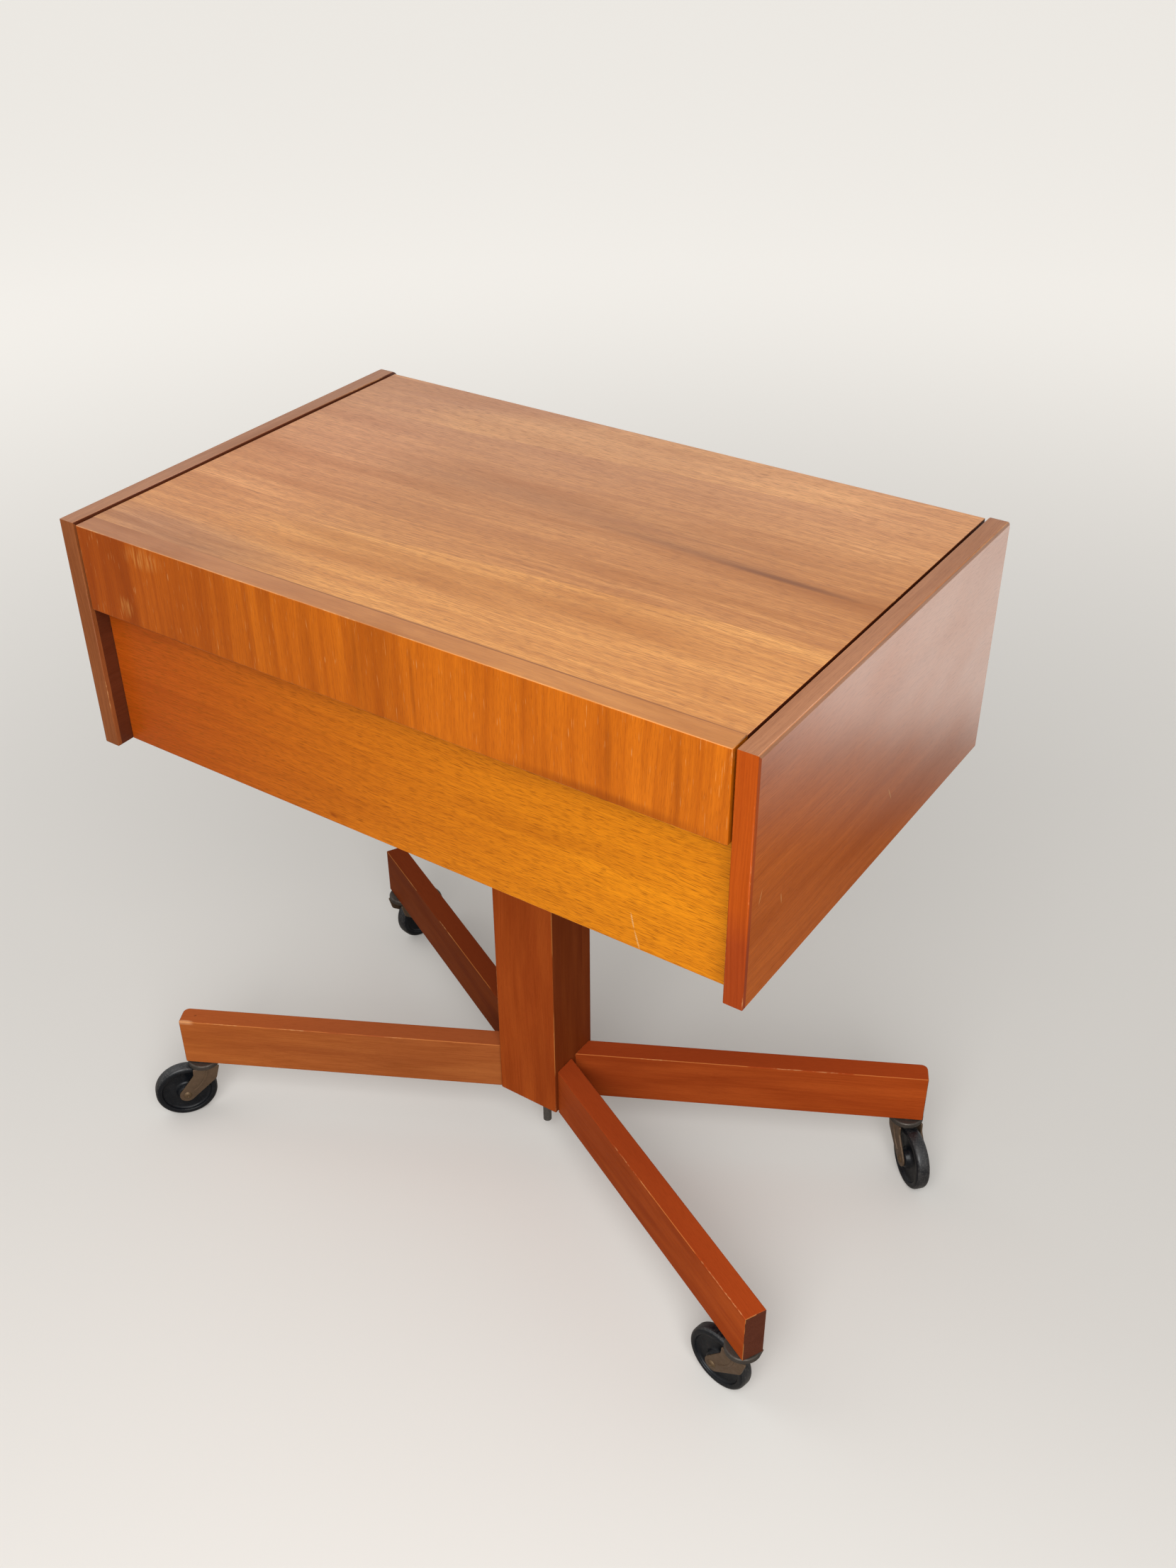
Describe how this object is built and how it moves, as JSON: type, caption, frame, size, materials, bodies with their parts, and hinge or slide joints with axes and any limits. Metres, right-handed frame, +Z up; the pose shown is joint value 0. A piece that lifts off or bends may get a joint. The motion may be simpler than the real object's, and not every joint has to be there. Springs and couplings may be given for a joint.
{
  "type": "sewing table",
  "caption": "Wheeled sewing table: hinged-lid veneered case with a sliding tray, on a boxed pedestal with splayed feet and swivel castors.",
  "frame": {"origin": "on the floor, under the middle of the pedestal", "axes": "+X along the front to the right, +Y towards the back, +Z up"},
  "size_m": [0.6804, 0.4053, 0.651],
  "materials": {
    "lid_veneer": "satin lacquered teak veneer",
    "apron_veneer": "satin lacquered teak veneer, upright grain",
    "front_veneer": "satin lacquered teak veneer",
    "side_veneer": "satin lacquered teak veneer",
    "lipping": "satin lacquered solid teak",
    "plywood": "matt clear plywood",
    "beech": "matt planed beech",
    "felt": "pressed felt",
    "brass": "satin",
    "stained_wood": "satin red-brown stained beech",
    "zinc_steel": "zinc plated, dulled",
    "ball_steel": "polished",
    "fork_steel": "bronze lacquered pressed steel",
    "rivet_steel": "dulled",
    "wheel_plastic": "black moulded, worn gloss"
  },
  "bodies": {
    "case": {"side_panel_left": "side_veneer", "side_panel_right": "side_veneer", "side_lipping_left": "lipping", "side_lipping_right": "lipping", "front_panel": "front_veneer", "back_panel": "plywood", "bottom_panel": "plywood", "bottom_cleats": "beech", "glue_blocks": "beech", "tray_runner_left": "beech", "tray_runner_right": "beech", "lid_bumpers": "felt", "hinge_leaves_case": "brass", "hinge_screws_case": "brass", "hinge_pins": "brass", "mounting_block": "beech", "block_screws": "zinc_steel", "column_front_board": "stained_wood", "column_back_board": "stained_wood", "column_left_board": "stained_wood", "column_right_board": "stained_wood", "foot_block": "beech", "tie_rod": "zinc_steel", "tie_nuts": "zinc_steel", "tie_washers": "zinc_steel", "foot_front_left": "stained_wood", "foot_front_right": "stained_wood", "foot_back_left": "stained_wood", "foot_back_right": "stained_wood", "foot_dowels": "beech", "castor_sockets": "zinc_steel", "castor_kingpins": "zinc_steel", "castor_balls": "ball_steel"},
    "lid": {"lid_panel": "lid_veneer", "lid_apron": "apron_veneer", "hinge_leaves_lid": "brass", "hinge_screws_lid": "brass"},
    "tray": {"tray_end_left": "beech", "tray_end_right": "beech", "tray_rim_front": "beech", "tray_rim_back": "beech", "tray_bottom": "plywood", "tray_dividers": "beech", "reel_pegs": "beech"},
    "castor_front_left": {"fork_front_left": "fork_steel", "axle_front_left": "rivet_steel"},
    "roller_front_left": {"wheel_front_left": "wheel_plastic"},
    "castor_front_right": {"fork_front_right": "fork_steel", "axle_front_right": "rivet_steel"},
    "roller_front_right": {"wheel_front_right": "wheel_plastic"},
    "castor_back_left": {"fork_back_left": "fork_steel", "axle_back_left": "rivet_steel"},
    "roller_back_left": {"wheel_back_left": "wheel_plastic"},
    "castor_back_right": {"fork_back_right": "fork_steel", "axle_back_right": "rivet_steel"},
    "roller_back_right": {"wheel_back_right": "wheel_plastic"}
  },
  "joints": [
    {"name": "lid_hinge", "type": "hinge", "parent": "case", "child": "lid", "pos_m": [0, 0.1885, 0.6348], "axis": [-1, 0, 0], "range_deg": [0, 95]},
    {"name": "tray_slide", "type": "slide", "parent": "case", "child": "tray", "axis": [0, 1, 0], "range_m": [0, 0.168]},
    {"name": "swivel_front_left", "type": "hinge", "parent": "case", "child": "castor_front_left", "pos_m": [-0.30204, -0.15513, 0.06], "axis": [0, 0, 1], "continuous": true},
    {"name": "roll_front_left", "type": "hinge", "parent": "castor_front_left", "child": "roller_front_left", "pos_m": [-0.31558, -0.17247, 0.03], "axis": [0.788, -0.6157, 0], "continuous": true},
    {"name": "swivel_front_right", "type": "hinge", "parent": "case", "child": "castor_front_right", "pos_m": [0.30204, -0.15513, 0.06], "axis": [0, 0, 1], "continuous": true},
    {"name": "roll_front_right", "type": "hinge", "parent": "castor_front_right", "child": "roller_front_right", "pos_m": [0.28052, -0.15056, 0.03], "axis": [-0.2079, -0.9781, 0], "continuous": true},
    {"name": "swivel_back_left", "type": "hinge", "parent": "case", "child": "castor_back_left", "pos_m": [-0.30204, 0.15513, 0.06], "axis": [0, 0, 1], "continuous": true},
    {"name": "roll_back_left", "type": "hinge", "parent": "castor_back_left", "child": "roller_back_left", "pos_m": [-0.29822, 0.1768, 0.03], "axis": [-0.9848, 0.1736, 0], "continuous": true},
    {"name": "swivel_back_right", "type": "hinge", "parent": "case", "child": "castor_back_right", "pos_m": [0.30204, 0.15513, 0.06], "axis": [0, 0, 1], "continuous": true},
    {"name": "roll_back_right", "type": "hinge", "parent": "castor_back_right", "child": "roller_back_right", "pos_m": [0.31813, 0.14013, 0.03], "axis": [0.682, 0.7314, 0], "continuous": true}
  ]
}
